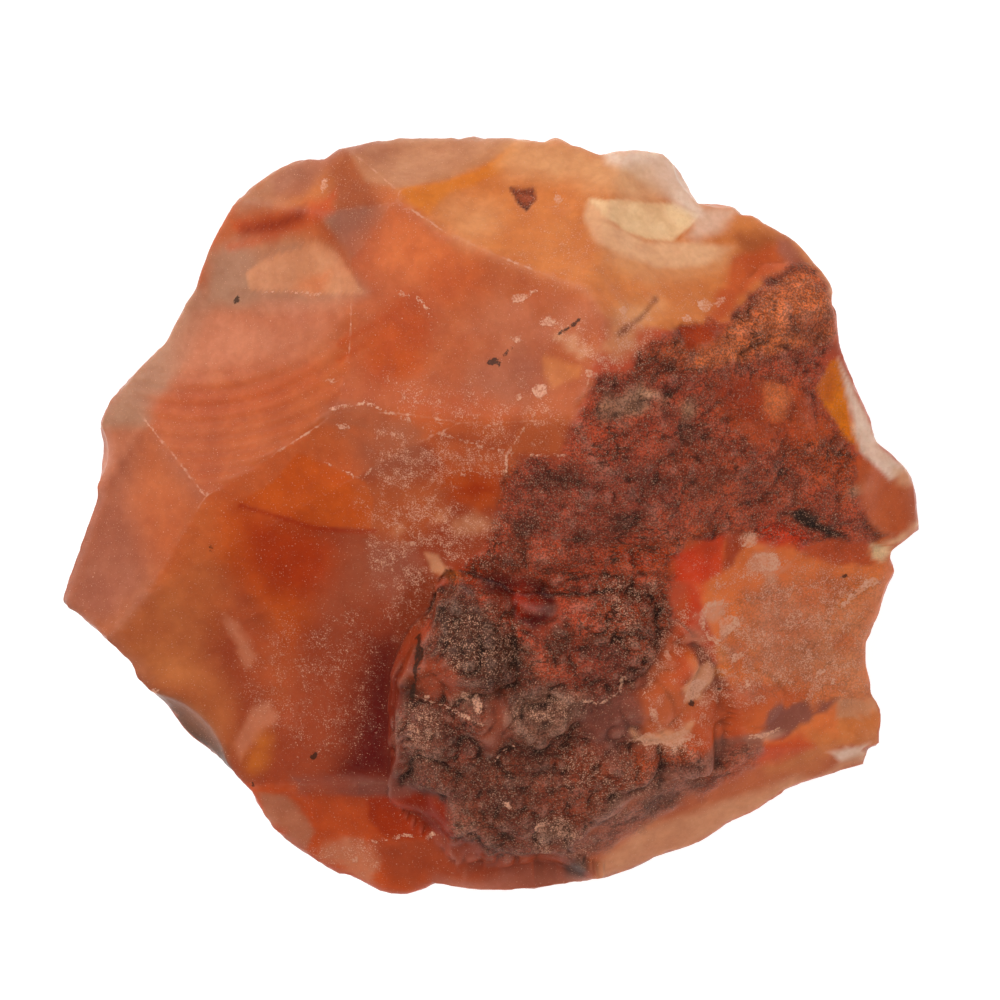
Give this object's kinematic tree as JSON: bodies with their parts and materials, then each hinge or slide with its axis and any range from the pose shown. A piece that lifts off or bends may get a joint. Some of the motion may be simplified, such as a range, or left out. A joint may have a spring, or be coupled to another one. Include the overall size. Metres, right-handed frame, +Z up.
{
  "type": "rough carnelian",
  "caption": "Rough, broken lump of carnelian with shell-shaped flake scars, sharp ridges and patches of knobbly dark rind, resting on a small flat underside.",
  "frame": {"origin": "middle of the small flat that the stone rests on, directly below the middle of its outline", "axes": "+X along the longest dimension, away from the thin western tip; +Y across the stone, from the dark knobbly lump towards the cream patch; +Z up, away from the resting flat"},
  "size_m": [0.0571, 0.0505, 0.0277],
  "materials": {
    "carnelian_stone": "waxy and slightly translucent on broken faces, rough and matt on the rind"
  },
  "bodies": {
    "root": {"carnelian": "carnelian_stone"}
  },
  "joints": []
}
